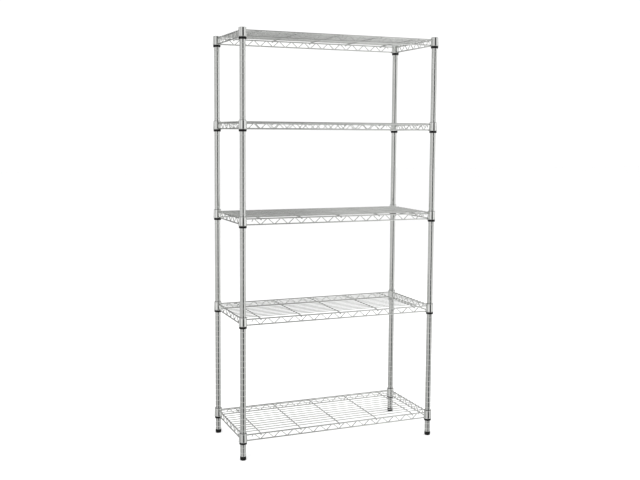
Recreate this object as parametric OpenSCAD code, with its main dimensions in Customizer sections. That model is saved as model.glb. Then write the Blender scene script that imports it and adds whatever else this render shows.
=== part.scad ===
// Five-shelf wire shelving rack: grooved two-piece tube posts, welded wire
// shelves with truss edges, tapered collars on split sleeves, and screw feet.
// Millimetres, +Z up, origin on the floor at the middle of the four feet.

/* [Rack] */
// Distance between post centres along the shelf
span_x = 908; // [600:1:1200]
// Distance between post centres across the shelf
span_y = 388; // [300:1:600]
// Height of the lowest shelf's collar top above the floor
first_collar_top = 118.6; // [110:0.1:140]

/* [Posts] */
// Outer diameter of the post tube
post_d = 25.4; // [25.2:0.1:25.6]
// Wall of the post tube
post_wall = 1.3; // [1:0.1:1.6]
// Distance from one groove to the next
groove_pitch = 25.4; // [20:0.1:30]
// Depth of a groove
groove_depth = 0.5; // [0.4:0.05:0.8]

/* [Shelves] */
// Diameter of the frame rails
rail_d = 5.8; // [4:0.1:6]
// Diameter of the zigzag truss wires
truss_d = 3.5; // [3:0.1:4]
// Diameter of the deck wires
deck_d = 3.4; // [2.2:0.1:3.8]
// Diameter of the cross wires under the deck
cross_d = 4.5; // [3.5:0.1:5]
// Number of deck wires on each shelf
deck_count = 12; // [8:1:18]
// Distance between the upper and lower rails' centres
truss_h = 25; // [22:0.5:30]

/* [Collars and sleeves] */
// Height of a collar
collar_h = 38; // [36:0.5:42]
// Wall of a collar
collar_wall = 1.6; // [1.4:0.1:2]
// Height of the sleeve's ring that shows under the collar
ring_h = 10; // [6:0.5:12]

/* [Feet] */
// Height of the foot pad
pad_h = 16.8; // [12:0.1:20]
// Diameter of the foot pad
pad_d = 27; // [25.5:0.5:32]

/* [Hidden] */
$fn = 64;

levels = [1, 2, 3, 4, 5];
corner_names = ["front_left", "front_right", "back_left", "back_right"];
corners = [[-1, -1], [1, -1], [-1, 1], [1, 1]];

// Grooves climbed from the lowest shelf to each shelf.
shelf_grooves = [0, 20, 37, 53, 68];
function collar_top(level) = first_collar_top + shelf_grooves[level - 1] * groove_pitch;
rack_h = collar_top(5);

// Posts
post_r = post_d / 2;
bore_r = post_r - post_wall;
groove_w = 2.6;
groove_floor_w = 1.2;
rib_drop = 12.7;                  // the sleeve's rib lies this far below the collar top
first_rib = first_collar_top - rib_drop;
grooves_below = 3;                // grooves under the lowest shelf's rib
joint_groove = 32.5;              // the tubes meet half way between two grooves
joint_z = first_rib + joint_groove * groove_pitch;
foot_gap = 0.2;
tube_bottom = pad_h + foot_gap;
cap_flange_h = 2;
tube_top = rack_h - cap_flange_h;
plug_gap = 0.02;

// Collars and sleeves
collar_top_r = 14.8;              // inside radius at the top
collar_flare = 1.6;               // how much wider it is at the bottom
lip_h = 2.5;
lip_out = 0.3;
sleeve_gap = 0.3;
sleeve_top_drop = -1;             // the sleeve stands this little above the collar
sleeve_bore_r = post_r + 0.08;
ring_r = 16.6;
rib_r = 12.3;
split_deg = 1.2;
function collar_inner(drop) = collar_top_r + collar_flare * drop / collar_h;
function collar_outer(drop) = collar_inner(drop) + collar_wall;

// Shelf wires, as heights below the collar top
weld = 0.3;                       // how far welded wires sink into each other
rail_bite = 0.8;                  // how far a rail's end sinks into its collar
upper_drop = 10;
lower_drop = upper_drop + truss_h;
deck_z = -upper_drop + rail_d / 2 + deck_d / 2 - weld;
cross_z = deck_z - deck_d / 2 - cross_d / 2 + weld;
cross_end_z = -upper_drop - rail_d / 2 - cross_d / 2 + weld;
deck_pitch = span_y / (deck_count + 1);

// Zigzag trusses, welded to the inner face of the rails
truss_in = rail_d / 2 + truss_d / 2 - weld;
truss_bend_r = 4.5;
truss_inset = 50;                 // from a post's centre to the nearest upper bend
truss_end_out = 9;                // how far the end leg reaches past that bend
front_bends = 13;
side_bends = 5;
front_pitch = (span_x - 2 * truss_inset) / front_bends;
side_pitch = (span_y - 2 * truss_inset) / side_bends;
cross_step = 3 * front_pitch;     // a cross wire stands over every third lower bend
cross_bend_r = 6;
bend_sink = 0.3;
bend_fat = 0.1;

// Feet
stem_r = 4.9;
stem_bore_r = 5;
stem_bottom = 4;
stem_top = 46;
thread_pitch = 1.5;
thread_depth = 0.7;
thread_turns = 24;
insert_top = 40;
flutes = 12;
flute_r = 1.6;
flute_out = 0.9;                  // how far a flute's centre lies outside the pad

// Studs that join the two halves of a post
stud_r = 4.9;
stud_half = 22;
plug_h = 16;

function corner_at(i) = [corners[i][0] * span_x / 2, corners[i][1] * span_y / 2, 0];

// ---- posts ----

// Half section of one groove, from its lower to its upper edge.
function groove_points(z) = [
    [post_r, z - groove_w / 2], [post_r - groove_depth, z - groove_floor_w / 2],
    [post_r - groove_depth, z + groove_floor_w / 2], [post_r, z + groove_w / 2]];

module post_tube(z0, z1) {
    groove_zs = [for (n = [-grooves_below : shelf_grooves[4]]) first_rib + n * groove_pitch];
    inside = [for (z = groove_zs) if (z > z0 + groove_w && z < z1 - groove_w) z];
    color("silver")
    rotate_extrude()
    polygon(concat(
        [[bore_r, z0], [post_r - 0.4, z0], [post_r, z0 + 0.4]],
        [for (z = inside) each groove_points(z)],
        [[post_r, z1 - 0.4], [post_r - 0.4, z1], [bore_r, z1]]));
}

module post_joint_plugs() {
    color("gainsboro")
    for (i = [0 : 3], side = [-1, 1])
        translate(corner_at(i) + [0, 0, joint_z + side * (plug_h / 2 + 0.2)])
        difference() {
            cylinder(r = bore_r - plug_gap, h = plug_h, center = true);
            cylinder(r = stud_r + 0.05, h = plug_h + 2, center = true);
        }
}

module post_joint_studs() {
    color("gray")
    for (i = [0 : 3])
        translate(corner_at(i) + [0, 0, joint_z - stud_half])
        threaded_rod(stud_r, 2 * stud_half, 4, 23);
}

// A rod with turned V rings in place of a helical thread.
module threaded_rod(r, h, start, turns) {
    rotate_extrude()
    polygon(concat(
        [[0, 0], [r - 0.5, 0], [r, 0.5]],
        [for (n = [0 : turns - 1]) each [
            [r, start + n * thread_pitch],
            [r - thread_depth, start + (n + 0.5) * thread_pitch]]],
        [[r, start + turns * thread_pitch], [r, h - 0.5], [r - 0.5, h], [0, h]]));
}

module post_cap() {
    color([0.1, 0.1, 0.1])
    rotate_extrude()
    polygon([
        [0, tube_top - 12], [bore_r - 0.5, tube_top - 12], [bore_r - plug_gap, tube_top - 10],
        [bore_r - plug_gap, tube_top], [post_r, tube_top],
        [post_r, rack_h - 0.8], [post_r - 0.8, rack_h], [0, rack_h]]);
}

// ---- feet ----

module foot_inserts() {
    color("gainsboro")
    for (i = [0 : 3])
        translate(corner_at(i) + [0, 0, tube_bottom])
        difference() {
            cylinder(r = bore_r - plug_gap, h = insert_top - tube_bottom);
            translate([0, 0, -1]) cylinder(r = stem_bore_r, h = insert_top);
        }
}

module foot_stem() {
    color("gray")
    translate([0, 0, stem_bottom])
    threaded_rod(stem_r, stem_top - stem_bottom, 5, thread_turns);
}

module foot_pad() {
    r = pad_d / 2;
    color([0.08, 0.08, 0.08])
    difference() {
        rotate_extrude()
        polygon([
            [0, 0], [r - 3.2, 0], [r - 1.4, 0.7], [r - 0.3, 2.6], [r, 4.5],
            [r, pad_h - 2], [r - 0.6, pad_h - 0.6], [r - 1.6, pad_h],
            [stem_bore_r, pad_h], [stem_bore_r, stem_bottom - 0.2], [0, stem_bottom - 0.2]]);
        for (n = [0 : flutes - 1])
            rotate(n * 360 / flutes)
            translate([r + flute_out, 0, 5])
            cylinder(r = flute_r, h = pad_h);
    }
}

// ---- sleeves ----

// Half section of a sleeve, with the collar top at z = 0.
function sleeve_section() = [
    [sleeve_bore_r, -collar_h - ring_h], [ring_r - 0.8, -collar_h - ring_h],
    [ring_r, -collar_h - ring_h + 0.8], [ring_r, -collar_h - 0.6],
    [collar_inner(collar_h) - sleeve_gap, -collar_h - 0.2],
    [collar_inner(sleeve_top_drop) - sleeve_gap, -sleeve_top_drop],
    [sleeve_bore_r, -sleeve_top_drop],
    [sleeve_bore_r, -rib_drop + 1], [rib_r, -rib_drop + 0.6],
    [rib_r, -rib_drop - 0.6], [sleeve_bore_r, -rib_drop - 1]];

module sleeve_halves(level, turn) {
    color([0.08, 0.08, 0.08])
    for (i = [0 : 3])
        translate(corner_at(i) + [0, 0, collar_top(level)])
        rotate(turn + split_deg)
        rotate_extrude(angle = 180 - 2 * split_deg)
        polygon(sleeve_section());
}

// ---- shelves ----

module collars(level) {
    color("silver")
    for (i = [0 : 3])
        translate(corner_at(i) + [0, 0, collar_top(level)])
        rotate_extrude()
        polygon([
            [collar_inner(collar_h), -collar_h],
            [collar_outer(collar_h) + lip_out, -collar_h],
            [collar_outer(collar_h) + lip_out, -collar_h + lip_h - 0.6],
            [collar_outer(collar_h - lip_h), -collar_h + lip_h],
            [collar_outer(lip_h), -lip_h],
            [collar_outer(0) + lip_out, -lip_h + 0.6],
            [collar_outer(0) + lip_out, -0.4],
            [collar_outer(0) + lip_out - 0.4, 0],
            [collar_inner(0), 0]]);
}

module wire(d, from, to) {
    v = to - from;
    translate(from)
    rotate([0, acos(v[2] / norm(v)), atan2(v[1], v[0])])
    cylinder(d = d, h = norm(v));
}

// A wire bent in the XZ plane: straights between points, with a round bend at each inner point.
// A bend is a hair fatter than the straights, whose ends sink into it.
module bent_wire(d, bend_r, points) {
    last = len(points) - 1;
    step = [for (i = [0 : last - 1]) points[i + 1] - points[i]];
    heading = [for (s = step) atan2(s[1], s[0])];
    turn = [for (i = [0 : last]) i == 0 || i == last ? 0 : heading[i] - heading[i - 1]];
    cut = [for (a = turn) a == 0 ? 0 : bend_r * tan(abs(a) / 2)];
    sunk = [for (c = cut) c == 0 ? 0 : c - bend_sink];
    rotate([90, 0, 0]) {
        for (i = [0 : last - 1])
            translate([points[i][0], points[i][1], 0])
            rotate([0, 90, heading[i]])
            translate([0, 0, sunk[i]])
            cylinder(d = d, h = norm(step[i]) - sunk[i] - sunk[i + 1]);
        for (i = [1 : last - 1]) {
            side = sign(turn[i]);
            translate([points[i][0], points[i][1], 0])
            rotate(heading[i - 1])
            translate([-cut[i], side * bend_r, 0])
            rotate(side > 0 ? -90 : 90 + turn[i])
            rotate_extrude(angle = abs(turn[i]))
            translate([bend_r, 0]) circle(d = d + bend_fat);
        }
    }
}

module frame_rails(level) {
    color("silver")
    translate([0, 0, collar_top(level)])
    for (drop = [upper_drop, lower_drop], side = [-1, 1]) {
        reach = collar_outer(drop) - rail_bite;
        wire(rail_d, [-span_x / 2 + reach, side * span_y / 2, -drop],
                     [span_x / 2 - reach, side * span_y / 2, -drop]);
        wire(rail_d, [side * span_x / 2, -span_y / 2 + reach, -drop],
                     [side * span_x / 2, span_y / 2 - reach, -drop]);
    }
}

// Points of a zigzag along one edge: an end leg to mid height, the bends, and an end leg.
function zigzag(bends, pitch) =
    let (
        high = -upper_drop,
        low = -lower_drop,
        bend_over = truss_bend_r * (1 / cos(atan2(truss_h, pitch / 2)) - 1),
        start = -bends * pitch / 2,
        middle = (high + low) / 2)
    concat(
        [[start - truss_end_out, middle]],
        [for (n = [0 : 2 * bends]) [start + n * pitch / 2, n % 2 == 0 ? high + bend_over : low - bend_over]],
        [[-start + truss_end_out, middle]]);

module truss_wires(level) {
    color("silver")
    translate([0, 0, collar_top(level)])
    for (side = [-1, 1]) {
        translate([0, side * (span_y / 2 - truss_in), 0])
            bent_wire(truss_d, truss_bend_r, zigzag(front_bends, front_pitch));
        translate([side * (span_x / 2 - truss_in), 0, 0])
            rotate(90) bent_wire(truss_d, truss_bend_r, zigzag(side_bends, side_pitch));
    }
}

module deck_wires(level) {
    reach = span_x / 2 + rail_d / 2 - 0.5;
    color("silver")
    translate([0, 0, collar_top(level) + deck_z])
    for (n = [1 : deck_count]) {
        y = -span_y / 2 + n * deck_pitch;
        wire(deck_d, [-reach, y, 0], [reach, y, 0]);
    }
}

// Each cross wire dips at both ends and passes under the front and back rails.
module cross_wires(level) {
    half = span_y / 2;
    end_y = half + rail_d / 2 + 3.5;
    dip_y = half - rail_d / 2 - 1;
    flat_y = half - rail_d / 2 - 8;
    color("silver")
    translate([0, 0, collar_top(level)])
    for (n = [-2 : 2])
        translate([n * cross_step, 0, 0])
        rotate(90)
        bent_wire(cross_d, cross_bend_r, [
            [-end_y, cross_end_z], [-dip_y, cross_end_z], [-flat_y, cross_z],
            [flat_y, cross_z], [dip_y, cross_end_z], [end_y, cross_end_z]]);
}

// ---- nodes ----

for (i = [0 : 3]) {
    c = corner_names[i];
    translate(corner_at(i)) post_tube(tube_bottom, joint_z);
    translate(corner_at(i)) post_tube(joint_z, tube_top);
    translate(corner_at(i)) post_cap();
    translate(corner_at(i)) foot_stem();
    translate(corner_at(i)) foot_pad();
}
post_joint_plugs();
post_joint_studs();
foot_inserts();
for (k = levels) {
    collars(k);
    frame_rails(k);
    truss_wires(k);
    deck_wires(k);
    cross_wires(k);
    sleeve_halves(k, 180);
    sleeve_halves(k, 0);
}
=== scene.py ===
# Five-shelf wire shelving rack: grooved chrome posts, chrome wires and collars, black
# sleeves, caps and feet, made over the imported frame. Lengths are in millimetres
# unless a name or comment says otherwise; MM turns them into metres.
import math
import bpy
from mathutils import Matrix, Vector


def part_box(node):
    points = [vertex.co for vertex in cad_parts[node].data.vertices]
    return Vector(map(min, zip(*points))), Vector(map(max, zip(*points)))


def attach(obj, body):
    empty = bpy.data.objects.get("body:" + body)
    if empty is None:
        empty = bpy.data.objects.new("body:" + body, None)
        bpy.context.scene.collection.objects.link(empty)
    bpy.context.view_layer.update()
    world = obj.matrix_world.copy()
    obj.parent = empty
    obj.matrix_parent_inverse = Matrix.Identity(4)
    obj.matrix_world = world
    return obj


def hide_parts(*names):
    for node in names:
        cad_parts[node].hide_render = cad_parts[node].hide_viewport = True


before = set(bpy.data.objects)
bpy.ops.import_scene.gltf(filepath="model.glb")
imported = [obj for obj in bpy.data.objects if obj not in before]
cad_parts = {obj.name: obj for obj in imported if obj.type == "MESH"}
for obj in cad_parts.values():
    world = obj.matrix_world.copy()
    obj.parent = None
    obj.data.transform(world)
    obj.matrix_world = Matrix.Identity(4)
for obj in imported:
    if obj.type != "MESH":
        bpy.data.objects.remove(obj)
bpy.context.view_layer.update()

MM = 0.001

# ---- sizes taken from the frame ----

CORNERS = ["front_left", "front_right", "back_left", "back_right"]
LEVELS = range(1, 6)


def box_mm(node):
    """Lowest and highest corner of a CAD node, in millimetres."""
    low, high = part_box(node)
    return Vector(low) / MM, Vector(high) / MM


def centre_of(corner):
    low, high = box_mm("post_lower_" + corner)
    return (low[0] + high[0]) / 2, (low[1] + high[1]) / 2


POST_AT = {corner: centre_of(corner) for corner in CORNERS}
SPAN_X = POST_AT["front_right"][0] - POST_AT["front_left"][0]
SPAN_Y = POST_AT["back_left"][1] - POST_AT["front_left"][1]
COLLAR_TOP = {level: box_mm(f"shelf_{level}_collars")[1][2] for level in LEVELS}
TUBE_BOTTOM = box_mm("post_lower_front_left")[0][2]
JOINT_Z = box_mm("post_lower_front_left")[1][2]
TUBE_TOP = box_mm("post_upper_front_left")[1][2]
RACK_TOP = box_mm("post_cap_front_left")[1][2]
STEM_LOW, STEM_HIGH = (corner[2] for corner in box_mm("foot_stem_front_left"))

# ---- sizes of the standard parts ----

POST_R = 12.7
BORE_R = 11.4
TUBE_BEVEL = 0.4
GROOVE_PITCH = 25.4
GROOVE_DEPTH = 0.5
GROOVE_W = 2.6
GROOVE_FLOOR_W = 1.2
GROOVE_ROUND = 0.4
GROOVES_BELOW = 3               # grooves under the lowest shelf's rib
RIB_DROP = 12.7                 # a sleeve's rib lies this far below its collar's top

CAP_PLUG_H = 12
CAP_PLUG_GAP = 0.02

COLLAR_H = 38
COLLAR_TOP_R = 14.8
COLLAR_FLARE = 1.6
COLLAR_WALL = 1.6
LIP_H = 2.5
LIP_OUT = 0.3

RING_H = 10
RING_R = 16.6
SLEEVE_GAP = 0.3
SLEEVE_RISE = 1
SLEEVE_BORE_R = POST_R + 0.08
RING_BEVEL = 0.8
RIB_R = 12.3
RIB_HALF = 1
RIB_TIP_HALF = 0.6
SPLIT_DEG = 1.2                 # half of the gap between two sleeve halves

WELD = 0.3                      # how deep one wire sinks into another
RAIL_R = 2.9
TRUSS_R = 1.75
DECK_R = 1.7
CROSS_R = 2.25
RAIL_BITE = 0.8                 # how deep a rail's end sinks into its collar
UPPER_DROP = 10
TRUSS_H = 25
LOWER_DROP = UPPER_DROP + TRUSS_H
DECK_Z = -UPPER_DROP + RAIL_R + DECK_R - WELD
CROSS_Z = DECK_Z - DECK_R - CROSS_R + WELD
CROSS_END_Z = -UPPER_DROP - RAIL_R - CROSS_R + WELD
DECK_COUNT = 12
DECK_END_IN = 0.5               # a deck wire stops this far inside the side rail's outer face

TRUSS_IN = RAIL_R + TRUSS_R - WELD
TRUSS_BEND_R = 4.5
TRUSS_INSET = 50
TRUSS_END_OUT = 9
FRONT_BENDS = 13
SIDE_BENDS = 5
FRONT_PITCH = (SPAN_X - 2 * TRUSS_INSET) / FRONT_BENDS
SIDE_PITCH = (SPAN_Y - 2 * TRUSS_INSET) / SIDE_BENDS
CROSS_STEP = 3 * FRONT_PITCH
CROSS_STEPS = range(-2, 3)
CROSS_BEND_R = 6
CROSS_END_OUT = 3.5             # a cross wire's end stands this far outside the rail
CROSS_DIP_IN = 1                # it stays low to this far inside the rail
CROSS_FLAT_IN = 8               # and is level under the deck wires from this far inside

# Weld beads: half their size along X, along Y and up. TRUSS_BEAD's first two are along and
# across its rail.
TRUSS_BEAD = (2.6, 1.0, 1.5)
DECK_BEAD = (2.0, 1.7, 0.8)
CROSS_BEAD = (1.8, 2.2, 0.9)
DECK_BEAD_SINK = 0.1

# Rings of weld at a rail's end: their distance from the collar and how far they stand out.
RAIL_FLARES = ((0.2, 1.1), (0.9, 0.55))
FLARE_HALF = 0.7

THREAD_R = 4.9
THREAD_PITCH = 1.5
THREAD_DEPTH = 0.7
STEM_PLAIN = 3                  # length without thread at each end of a stem
STEM_BEVEL = 0.6


def collar_inner(drop):
    return COLLAR_TOP_R + COLLAR_FLARE * drop / COLLAR_H


def collar_outer(drop):
    return collar_inner(drop) + COLLAR_WALL


# ---- mesh tools ----

class Shape:
    """Gathers points and faces in millimetres, and makes one smooth-shaded object of them."""

    def __init__(self):
        self.points = []
        self.faces = []

    def add(self, points, faces):
        first = len(self.points)
        self.points += [tuple(p) for p in points]
        self.faces += [[first + i for i in face] for face in faces]

    def make(self, name, material, body, replaced, sharp_deg=35):
        mesh = bpy.data.meshes.new(name)
        mesh.from_pydata([[c * MM for c in p] for p in self.points], [], self.faces)
        mesh.validate()
        mesh.shade_smooth()
        mesh.set_sharp_from_angle(angle=math.radians(sharp_deg))
        mesh.materials.append(material)
        piece = bpy.data.objects.new(name, mesh)
        bpy.context.scene.collection.objects.link(piece)
        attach(piece, body)
        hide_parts(*replaced)
        return piece


def round_corners(points, radius, steps=2, closed=True):
    """The same outline with every corner turned into a short arc of about that radius."""
    count = len(points)
    result = []
    for i, corner in enumerate(points):
        if not closed and i in (0, count - 1):
            result.append(Vector(corner))
            continue
        here = Vector(corner)
        back = Vector(points[i - 1]) - here
        ahead = Vector(points[(i + 1) % count]) - here
        reach = min(radius, 0.45 * back.length, 0.45 * ahead.length)
        start = here + back.normalized() * reach
        end = here + ahead.normalized() * reach
        for n in range(steps + 1):
            t = n / steps
            result.append(start * (1 - t) ** 2 + here * 2 * t * (1 - t) + end * t ** 2)
    return result


def hold_flats(outline, gap=0.3, longest=5):
    """The same outline with a point close to each end of every long straight, so that smooth
    shading keeps the straight flat."""
    result = []
    for here, following in zip(outline, outline[1:] + outline[:1]):
        result.append(here)
        run = following - here
        if run.length > longest:
            step = run.normalized() * gap
            result += [here + step, following - step]
    return result


def lathe(shape, outline, at, z=0, around=48, start_deg=0, sweep_deg=360):
    """Turns a closed (radius, height) outline about the upright axis through at."""
    whole = sweep_deg == 360
    rings = around if whole else around + 1
    count = len(outline)
    points = []
    for n in range(rings):
        angle = math.radians(start_deg + sweep_deg * n / around)
        for r, height in outline:
            points.append((at[0] + r * math.cos(angle), at[1] + r * math.sin(angle), z + height))
    faces = []
    for n in range(around):
        ring, following = n * count, (n + 1) % rings * count
        for i in range(count):
            j = (i + 1) % count
            faces.append((ring + i, following + i, following + j, ring + j))
    if not whole:
        faces.append(tuple(range(count)))
        faces.append(tuple(around * count + i for i in reversed(range(count))))
    shape.add(points, faces)


def tube(shape, path, radius, around=14):
    """A round wire along a path, with slightly rounded ends."""
    path = [Vector(p) for p in path]
    along = []
    for i in range(len(path)):
        before = path[max(i - 1, 0)]
        after = path[min(i + 1, len(path) - 1)]
        along.append((after - before).normalized())
    first, last = along[0], along[-1]
    rings = [(path[0], first, 0.72), (path[0] + first * radius * 0.12, first, 0.92)]
    rings.append((path[0] + first * radius * 0.35, first, 1))
    rings += [(p, a, 1) for p, a in zip(path[1:-1], along[1:-1])]
    rings.append((path[-1] - last * radius * 0.35, last, 1))
    rings += [(path[-1] - last * radius * 0.12, last, 0.92), (path[-1], last, 0.72)]
    side = first.orthogonal().normalized()
    points = []
    for middle, direction, scale in rings:
        side = (side - direction * side.dot(direction)).normalized()
        across = direction.cross(side)
        for n in range(around):
            angle = 2 * math.pi * n / around
            spoke = side * math.cos(angle) + across * math.sin(angle)
            points.append(middle + spoke * radius * scale)
    faces = []
    for ring in range(len(rings) - 1):
        for n in range(around):
            m = (n + 1) % around
            a, b = ring * around, (ring + 1) * around
            faces.append((a + n, a + m, b + m, b + n))
    faces.append(tuple(reversed(range(around))))
    faces.append(tuple((len(rings) - 1) * around + n for n in range(around)))
    shape.add(points, faces)


def bend(points, radius, steps=6):
    """A path through points, with a round bend of that radius at each inner point."""
    path = [Vector(points[0])]
    for before, here, after in zip(points, points[1:], points[2:]):
        here = Vector(here)
        back = (Vector(before) - here).normalized()
        ahead = (Vector(after) - here).normalized()
        half = back.angle(ahead) / 2
        cut = radius / math.tan(half)
        centre = here + (back + ahead).normalized() * radius / math.sin(half)
        start = here + back * cut - centre
        end = here + ahead * cut - centre
        turn = start.angle(end)
        for n in range(steps + 1):
            share = n / steps
            spoke = start * math.sin((1 - share) * turn) + end * math.sin(share * turn)
            path.append(centre + spoke / math.sin(turn))
    path.append(Vector(points[-1]))
    return path


def bead(shape, centre, radii, around=8, rows=5):
    """A small weld bead: a flattened ball."""
    points = [(centre[0], centre[1], centre[2] - radii[2])]
    for row in range(1, rows):
        tilt = math.pi * row / rows - math.pi / 2
        for n in range(around):
            angle = 2 * math.pi * n / around
            points.append((
                centre[0] + radii[0] * math.cos(tilt) * math.cos(angle),
                centre[1] + radii[1] * math.cos(tilt) * math.sin(angle),
                centre[2] + radii[2] * math.sin(tilt)))
    points.append((centre[0], centre[1], centre[2] + radii[2]))
    top = len(points) - 1
    faces = []
    for n in range(around):
        m = (n + 1) % around
        faces.append((0, 1 + m, 1 + n))
        faces.append((top, top - around + n, top - around + m))
        for row in range(rows - 2):
            low, high = 1 + row * around, 1 + (row + 1) * around
            faces.append((low + n, low + m, high + m, high + n))
    shape.add(points, faces)


# ---- materials ----

def new_material(name):
    material = bpy.data.materials.new(name)
    material.use_nodes = True
    nodes = material.node_tree.nodes
    return material, nodes, material.node_tree.links, nodes["Principled BSDF"]


def noise(nodes, links, scale, detail=4, stretch=(1, 1, 1)):
    """Noise over the object's own coordinates, stretched along each axis."""
    place = nodes.new("ShaderNodeTexCoord")
    mapping = nodes.new("ShaderNodeMapping")
    mapping.inputs["Scale"].default_value = stretch
    texture = nodes.new("ShaderNodeTexNoise")
    texture.inputs["Scale"].default_value = scale
    texture.inputs["Detail"].default_value = detail
    links.new(place.outputs["Object"], mapping.inputs["Vector"])
    links.new(mapping.outputs["Vector"], texture.inputs["Vector"])
    return texture.outputs["Fac"]


def between(nodes, links, factor, low, high, low_in=0.35, high_in=0.65):
    """Turns a 0 to 1 factor into a number from low to high."""
    node = nodes.new("ShaderNodeMapRange")
    node.inputs["From Min"].default_value = low_in
    node.inputs["From Max"].default_value = high_in
    node.inputs["To Min"].default_value = low
    node.inputs["To Max"].default_value = high
    links.new(factor, node.inputs["Value"])
    return node.outputs["Result"]


def blend_colours(nodes, links, factor, one, other):
    node = nodes.new("ShaderNodeMix")
    node.data_type = "RGBA"
    node.inputs["A"].default_value = (*one, 1)
    node.inputs["B"].default_value = (*other, 1)
    links.new(factor, node.inputs["Factor"])
    return node.outputs["Result"]


def add_bump(nodes, links, shader, height, strength, distance):
    node = nodes.new("ShaderNodeBump")
    node.inputs["Strength"].default_value = strength
    node.inputs["Distance"].default_value = distance
    links.new(height, node.inputs["Height"])
    links.new(node.outputs["Normal"], shader.inputs["Normal"])


def plated(name, bright, dull, rough, stretch=(1, 1, 1), bump=0.08):
    """Bright plating: cloudy colour and gloss, with fine drawing lines in the metal under it."""
    material, nodes, links, shader = new_material(name)
    shader.inputs["Metallic"].default_value = 1
    clouds = noise(nodes, links, 14, 3)
    lines = noise(nodes, links, 900, 3, stretch)
    links.new(blend_colours(nodes, links, between(nodes, links, clouds, 0, 1), bright, dull),
              shader.inputs["Base Color"])
    links.new(between(nodes, links, clouds, *rough), shader.inputs["Roughness"])
    add_bump(nodes, links, shader, lines, bump, 0.05 * MM)
    return material


def moulded(name, colour, worn, rough, grain, bump):
    """Moulded black plastic: fine grain and a few paler rubbed patches."""
    material, nodes, links, shader = new_material(name)
    patches = noise(nodes, links, 60, 6)
    skin = noise(nodes, links, grain, 2)
    rubbed = between(nodes, links, patches, 0, 1, 0.55, 0.75)
    links.new(blend_colours(nodes, links, rubbed, colour, worn), shader.inputs["Base Color"])
    links.new(between(nodes, links, patches, *rough), shader.inputs["Roughness"])
    shader.inputs["Specular IOR Level"].default_value = 0.2
    add_bump(nodes, links, shader, skin, bump, 0.1 * MM)
    return material


UPRIGHT = (1, 1, 0.03)
CHROME_TUBE = plated("chrome_tube", (0.83, 0.84, 0.82), (0.78, 0.79, 0.77), (0.05, 0.1), UPRIGHT)
CHROME_COLLAR = plated("chrome_collar", (0.95, 0.96, 0.94), (0.88, 0.89, 0.87), (0.1, 0.18))
CHROME_WIRE = plated("chrome_wire", (0.86, 0.87, 0.85), (0.78, 0.79, 0.77), (0.12, 0.22))
ZINC = plated("zinc_steel", (0.62, 0.62, 0.6), (0.5, 0.5, 0.48), (0.3, 0.45), bump=0.2)
BLACK_PLASTIC = moulded(
    "black_plastic", (0.006, 0.006, 0.006), (0.016, 0.016, 0.017), (0.5, 0.62), 1500, 0.1)
BLACK_FOOT = moulded(
    "black_foot", (0.008, 0.008, 0.008), (0.03, 0.029, 0.028), (0.55, 0.72), 1100, 0.2)

# ---- posts, caps and feet ----

def post_outline(low, high):
    """Half section of one tube, with the grooves whose whole width lies on it."""
    first_rib = COLLAR_TOP[1] - RIB_DROP
    steps = range(-GROOVES_BELOW, round((COLLAR_TOP[5] - COLLAR_TOP[1]) / GROOVE_PITCH) + 1)
    outline = [(BORE_R, low), (POST_R - TUBE_BEVEL, low), (POST_R, low + TUBE_BEVEL)]
    for step in steps:
        z = first_rib + step * GROOVE_PITCH
        if low + GROOVE_W < z < high - GROOVE_W:
            outline += [(POST_R, z - GROOVE_W / 2), (POST_R - GROOVE_DEPTH, z - GROOVE_FLOOR_W / 2),
                        (POST_R - GROOVE_DEPTH, z + GROOVE_FLOOR_W / 2), (POST_R, z + GROOVE_W / 2)]
    outline += [(POST_R, high - TUBE_BEVEL), (POST_R - TUBE_BEVEL, high), (BORE_R, high)]
    return hold_flats(round_corners(outline, GROOVE_ROUND))


def make_posts():
    for corner in CORNERS:
        for half, low, high in (("lower", TUBE_BOTTOM, JOINT_Z), ("upper", JOINT_Z, TUBE_TOP)):
            shape = Shape()
            lathe(shape, post_outline(low, high), POST_AT[corner], around=56)
            shape.make(f"tube_{half}_{corner}", CHROME_TUBE, "posts",
                       [f"post_{half}_{corner}"], sharp_deg=60)


def make_caps():
    """A flush cap with a faintly domed top and a plug inside the tube."""
    plug = BORE_R - CAP_PLUG_GAP
    plug_low = TUBE_TOP - CAP_PLUG_H
    outline = [(0, plug_low), (plug - 0.5, plug_low), (plug, plug_low + 2), (plug, TUBE_TOP),
               (POST_R, TUBE_TOP), (POST_R, RACK_TOP - 1), (POST_R - 1.4, RACK_TOP - 0.4),
               (POST_R * 0.5, RACK_TOP - 0.1), (0, RACK_TOP)]
    for corner in CORNERS:
        shape = Shape()
        lathe(shape, outline, POST_AT[corner], around=48)
        shape.make("cap_" + corner, BLACK_PLASTIC, "posts", ["post_cap_" + corner])


def thread_radius(phase):
    """Radius of a V thread at a phase from 0 to 1 along its pitch."""
    height = abs(2 * (phase % 1) - 1)
    return THREAD_R - THREAD_DEPTH * min(max((height - 0.1) / 0.8, 0), 1)


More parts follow.
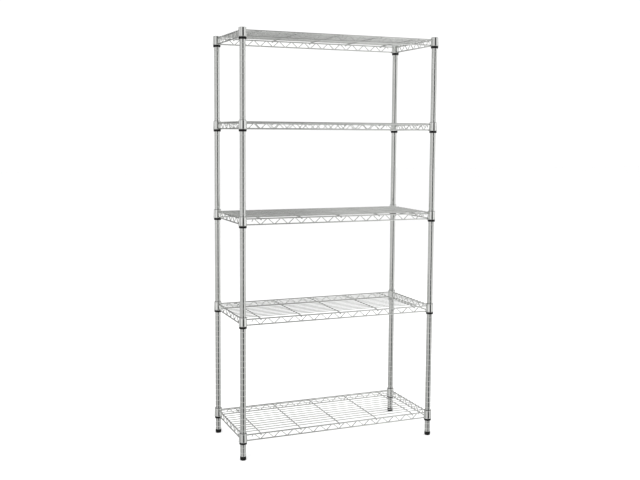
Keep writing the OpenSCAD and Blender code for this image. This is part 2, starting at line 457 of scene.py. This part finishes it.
def make_stems():
    """Threaded stems with a real helix, plain for a short length at each end."""
    around = 32
    rows_per_turn = 8
    rows = round((STEM_HIGH - STEM_LOW) / THREAD_PITCH * rows_per_turn)
    for corner in CORNERS:
        x, y = POST_AT[corner]
        points, faces = [], []
        for row in range(rows + 1):
            z = STEM_LOW + (STEM_HIGH - STEM_LOW) * row / rows
            edge = min(z - STEM_LOW, STEM_HIGH - z)
            for n in range(around):
                r = THREAD_R - THREAD_DEPTH
                if edge > STEM_PLAIN:
                    r = thread_radius(z / THREAD_PITCH - n / around)
                r -= max(STEM_BEVEL - edge, 0)
                angle = 2 * math.pi * n / around
                points.append((x + r * math.cos(angle), y + r * math.sin(angle), z))
        for row in range(rows):
            for n in range(around):
                m = (n + 1) % around
                a, b = row * around, (row + 1) * around
                faces.append((a + n, a + m, b + m, b + n))
        faces.append(tuple(reversed(range(around))))
        faces.append(tuple(rows * around + n for n in range(around)))
        shape = Shape()
        shape.add(points, faces)
        shape.make("stem_" + corner, ZINC, "foot_stem_" + corner,
                   ["foot_stem_" + corner], sharp_deg=50)


# ---- sleeves and collars ----

def sleeve_outline():
    return round_corners([
        (SLEEVE_BORE_R, -COLLAR_H - RING_H), (RING_R - RING_BEVEL, -COLLAR_H - RING_H),
        (RING_R, -COLLAR_H - RING_H + RING_BEVEL), (RING_R, -COLLAR_H - 0.6),
        (collar_inner(COLLAR_H) - SLEEVE_GAP, -COLLAR_H - 0.2),
        (collar_inner(-SLEEVE_RISE) - SLEEVE_GAP, SLEEVE_RISE),
        (SLEEVE_BORE_R, SLEEVE_RISE),
        (SLEEVE_BORE_R, -RIB_DROP + RIB_HALF), (RIB_R, -RIB_DROP + RIB_TIP_HALF),
        (RIB_R, -RIB_DROP - RIB_TIP_HALF), (SLEEVE_BORE_R, -RIB_DROP - RIB_HALF)], 0.3)


def make_sleeves(level):
    for side, turn in (("front", 180), ("back", 0)):
        shape = Shape()
        for corner in CORNERS:
            lathe(shape, sleeve_outline(), POST_AT[corner], COLLAR_TOP[level], around=36,
                  start_deg=turn + SPLIT_DEG, sweep_deg=180 - 2 * SPLIT_DEG)
        shape.make(f"sleeve_{side}_{level}", BLACK_PLASTIC, "posts",
                   [f"sleeve_{side}_halves_{level}"])


def make_collars(level):
    outline = hold_flats(round_corners([
        (collar_inner(COLLAR_H), -COLLAR_H), (collar_outer(COLLAR_H) + LIP_OUT, -COLLAR_H),
        (collar_outer(COLLAR_H) + LIP_OUT, -COLLAR_H + LIP_H - 0.6),
        (collar_outer(COLLAR_H - LIP_H), -COLLAR_H + LIP_H), (collar_outer(LIP_H), -LIP_H),
        (collar_outer(0) + LIP_OUT, -LIP_H + 0.6), (collar_outer(0) + LIP_OUT, 0),
        (collar_inner(0), 0)], 0.5, steps=3))
    shape = Shape()
    for corner in CORNERS:
        lathe(shape, outline, POST_AT[corner], COLLAR_TOP[level], around=56)
    shape.make(f"collars_{level}", CHROME_COLLAR, f"shelf_{level}",
               [f"shelf_{level}_collars"], sharp_deg=50)


# ---- shelf wires ----

def make_rails(level):
    """Rails between the collars, with a flared weld where each end meets its collar."""
    z0 = COLLAR_TOP[level]
    shape = Shape()
    for drop in (UPPER_DROP, LOWER_DROP):
        wall = collar_outer(drop)
        for side in (-1, 1):
            for axis, span, across in ((0, SPAN_X, SPAN_Y), (1, SPAN_Y, SPAN_X)):
                def at(distance):
                    point = [0, 0, z0 - drop]
                    point[axis] = distance
                    point[1 - axis] = side * across / 2
                    return Vector(point)

                tube(shape, [at(-span / 2 + wall - RAIL_BITE), at(span / 2 - wall + RAIL_BITE)], RAIL_R, 16)
                for end in (-1, 1):
                    for out, fat in RAIL_FLARES:
                        middle = span / 2 - wall - out
                        tube(shape, [at(end * (middle - FLARE_HALF)), at(end * (middle + FLARE_HALF))],
                             RAIL_R + fat, 16)
    shape.make(f"rails_{level}", CHROME_WIRE, f"shelf_{level}",
               [f"shelf_{level}_frame_rails"], sharp_deg=60)


def zigzag(bends, pitch):
    """Points of a truss wire: an end leg to mid height, the bends, and an end leg."""
    over = TRUSS_BEND_R * (1 / math.cos(math.atan2(TRUSS_H, pitch / 2)) - 1)
    high, low = -UPPER_DROP + over, -LOWER_DROP - over
    middle = (high + low) / 2
    start = -bends * pitch / 2
    inner = [(start + n * pitch / 2, low if n % 2 else high) for n in range(2 * bends + 1)]
    return [(start - TRUSS_END_OUT, middle), *inner, (-start + TRUSS_END_OUT, middle)]


def make_truss(level):
    """Zigzag wires on the rails' inner faces, with a weld bead at every bend."""
    z0 = COLLAR_TOP[level]
    shape = Shape()
    for side in (-1, 1):
        for bends, pitch, axis, across in (
                (FRONT_BENDS, FRONT_PITCH, 0, SPAN_Y), (SIDE_BENDS, SIDE_PITCH, 1, SPAN_X)):
            def at(distance, z, inward):
                point = [0, 0, z0 + z]
                point[axis] = distance
                point[1 - axis] = side * (across / 2 - inward)
                return Vector(point)

            points = zigzag(bends, pitch)
            tube(shape, bend([at(d, z, TRUSS_IN) for d, z in points], TRUSS_BEND_R), TRUSS_R, 12)
            for n in range(2 * bends + 1):
                distance = -bends * pitch / 2 + n * pitch / 2
                z = -LOWER_DROP if n % 2 else -UPPER_DROP
                along, across_rail, up = TRUSS_BEAD
                radii = (along, across_rail, up) if axis == 0 else (across_rail, along, up)
                bead(shape, at(distance, z, RAIL_R), radii)
    shape.make(f"truss_{level}", CHROME_WIRE, f"shelf_{level}",
               [f"shelf_{level}_truss_wires"], sharp_deg=60)


def make_deck(level):
    """Deck wires, with a weld bead wherever one crosses a cross wire or a side rail."""
    z = COLLAR_TOP[level] + DECK_Z
    bead_z = z - DECK_R + DECK_BEAD_SINK
    reach = SPAN_X / 2 + RAIL_R - DECK_END_IN
    shape = Shape()
    for n in range(1, DECK_COUNT + 1):
        y = -SPAN_Y / 2 + n * SPAN_Y / (DECK_COUNT + 1)
        tube(shape, [(-reach, y, z), (reach, y, z)], DECK_R, 12)
        for step in CROSS_STEPS:
            bead(shape, (step * CROSS_STEP, y, bead_z), DECK_BEAD)
        for side in (-1, 1):
            bead(shape, (side * SPAN_X / 2, y, bead_z), DECK_BEAD)
    shape.make(f"deck_{level}", CHROME_WIRE, f"shelf_{level}",
               [f"shelf_{level}_deck_wires"], sharp_deg=60)


def make_cross_wires(level):
    """Cross wires that dip at both ends and pass under the front and back rails."""
    z0 = COLLAR_TOP[level]
    half = SPAN_Y / 2
    end_y = half + RAIL_R + CROSS_END_OUT
    dip_y = half - RAIL_R - CROSS_DIP_IN
    flat_y = half - RAIL_R - CROSS_FLAT_IN
    profile = [(-end_y, CROSS_END_Z), (-dip_y, CROSS_END_Z), (-flat_y, CROSS_Z),
               (flat_y, CROSS_Z), (dip_y, CROSS_END_Z), (end_y, CROSS_END_Z)]
    shape = Shape()
    for step in CROSS_STEPS:
        x = step * CROSS_STEP
        tube(shape, bend([(x, y, z0 + z) for y, z in profile], CROSS_BEND_R), CROSS_R, 16)
        for side in (-1, 1):
            bead(shape, (x, side * half, z0 - UPPER_DROP - RAIL_R), CROSS_BEAD)
    shape.make(f"cross_{level}", CHROME_WIRE, f"shelf_{level}",
               [f"shelf_{level}_cross_wires"], sharp_deg=60)


# ---- materials of the CAD nodes that stay ----

def paint_kept_nodes():
    for corner in CORNERS:
        paint("foot_pad_" + corner, BLACK_FOOT)
    for node in ("post_joint_plugs", "post_joint_studs", "foot_inserts"):
        paint(node, ZINC)


def paint(node, material):
    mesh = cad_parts[node].data
    if mesh.materials:
        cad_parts[node].material_slots[0].material = material
    else:
        mesh.materials.append(material)


# ---- studio ----

WHITE = (1, 1, 1, 1)

# The reflected room. Its walls: degrees round from the front (-Y) and the grey there.
WALL_GREYS = [
    (-178, 0.25), (-152, 0.25), (-130, 0.72), (-102, 0.72), (-95, 0.2), (-84, 0.2), (-77, 0.74),
    (-38, 0.74), (-12, 0.03), (15, 0.03), (28, 0.74), (76, 0.88), (83, 0.2), (94, 0.2),
    (101, 0.86), (165, 0.8), (176, 0.25)]
# From straight down (0) to straight up (1): what the walls' greys are multiplied by, and the
# greys of the floor and the ceiling.
WALL_SHADE = [(0.34, 0.65), (0.44, 1), (0.57, 1), (0.66, 0.5)]
END_GREYS = [(0.06, 0.55), (0.18, 0.98), (0.45, 0.98), (0.55, 0.36)]


def ramp(nodes, links, factor, stops):
    """A row of greys along a factor."""
    node = nodes.new("ShaderNodeValToRGB")
    while len(node.color_ramp.elements) < len(stops):
        node.color_ramp.elements.new(0.5)
    for element, (position, grey) in zip(node.color_ramp.elements, stops):
        element.position = position
        element.color = (grey, grey, grey, 1)
    links.new(factor, node.inputs["Fac"])
    return node.outputs["Color"]


def make_world():
    """White light and a white background. Only reflections see the room: pale, with dark upright
    bands, the darkest in front of the rack, a grey ceiling and a pale floor."""
    world = bpy.data.worlds.new("studio")
    bpy.context.scene.world = world
    world.use_nodes = True
    nodes, links = world.node_tree.nodes, world.node_tree.links

    def maths(operation, *inputs):
        node = nodes.new("ShaderNodeMath")
        node.operation = operation
        for socket, value in zip(node.inputs, inputs):
            if isinstance(value, (int, float)):
                socket.default_value = value
            else:
                links.new(value, socket)
        return node.outputs["Value"]

    def mix(factor, one, other):
        node = nodes.new("ShaderNodeMix")
        node.data_type = "RGBA"
        node.inputs["A"].default_value = WHITE
        for socket, value in (("Factor", factor), ("A", one), ("B", other)):
            if value is not None:
                links.new(value, node.inputs[socket])
        return node.outputs["Result"]

    place = nodes.new("ShaderNodeTexCoord")
    split = nodes.new("ShaderNodeSeparateXYZ")
    links.new(place.outputs["Generated"], split.inputs["Vector"])
    x, y, z = split.outputs
    round_about = maths("DIVIDE", maths("ARCTAN2", x, maths("MULTIPLY", y, -1)), 2 * math.pi)
    walls = ramp(nodes, links, maths("ADD", round_about, 0.5),
                 [(0.5 + angle / 360, grey) for angle, grey in WALL_GREYS])
    height = maths("ADD", maths("MULTIPLY", z, 0.5), 0.5)
    shade = ramp(nodes, links, height, WALL_SHADE)
    ends = ramp(nodes, links, height, END_GREYS)
    steep = between(nodes, links, maths("ABSOLUTE", z), 0, 1, 0.3, 0.6)
    room = mix(steep, maths("MULTIPLY", walls, shade), ends)
    rays = nodes.new("ShaderNodeLightPath")
    shader = nodes["Background"]
    links.new(mix(rays.outputs["Is Glossy Ray"], None, room), shader.inputs["Color"])
    shader.inputs["Strength"].default_value = 1.08


def make_floor():
    """A pale floor that the chrome doesn't mirror, so that its reflections stay those of the room."""
    mesh = bpy.data.meshes.new("floor")
    reach = 30
    mesh.from_pydata([(-reach, -reach, 0), (reach, -reach, 0), (reach, reach, 0), (-reach, reach, 0)],
                     [], [(0, 1, 2, 3)])
    floor = bpy.data.objects.new("floor", mesh)
    floor.location.z = -0.2 * MM
    bpy.context.scene.collection.objects.link(floor)
    material, nodes, links, shader = new_material("pale_floor")
    shader.inputs["Roughness"].default_value = 0.9
    shader.inputs["Specular IOR Level"].default_value = 0.1
    mottle = noise(nodes, links, 3, 2)
    links.new(blend_colours(nodes, links, mottle, (0.96, 0.96, 0.96), (0.94, 0.94, 0.94)),
              shader.inputs["Base Color"])
    mesh.materials.append(material)
    floor.visible_glossy = False


def area_light(name, place, aim, size, watts):
    data = bpy.data.lights.new(name, "AREA")
    data.shape = "RECTANGLE"
    data.size, data.size_y = size
    data.energy = watts
    light = bpy.data.objects.new(name, data)
    light.location = place
    light.visible_glossy = False
    light.rotation_euler = (Vector(aim) - Vector(place)).to_track_quat("-Z", "Y").to_euler()
    bpy.context.scene.collection.objects.link(light)


def make_camera():
    """The photograph's view: from the front left, from about three quarters of the rack's height."""
    yaw_deg, pitch_deg, roll_deg = 22.413, -5.578, 0.399
    data = bpy.data.cameras.new("camera")
    data.lens = 50.1
    data.shift_y = -0.0297
    camera = bpy.data.objects.new("camera", data)
    camera.location = (-1.5801, -3.7798, 1.4087)
    turn = Matrix.Rotation(math.radians(-yaw_deg), 4, "Z")
    tilt = Matrix.Rotation(math.radians(90 + pitch_deg), 4, "X")
    roll = Matrix.Rotation(math.radians(roll_deg), 4, "Z")
    camera.rotation_euler = (turn @ tilt @ roll).to_euler()
    bpy.context.scene.collection.objects.link(camera)
    bpy.context.scene.camera = camera


# ---- the whole scene ----

make_posts()
make_caps()
make_stems()
for level in LEVELS:
    make_sleeves(level)
    make_collars(level)
    make_rails(level)
    make_truss(level)
    make_deck(level)
    make_cross_wires(level)
paint_kept_nodes()
make_world()
make_floor()
area_light("key", (-2.5, -2.5, 4.5), (0, 0, 0.9), (3, 3), 120)
area_light("fill", (3.5, -1.5, 3.5), (0, 0, 0.9), (3, 3), 60)
make_camera()
bpy.context.scene.view_settings.view_transform = "Standard"
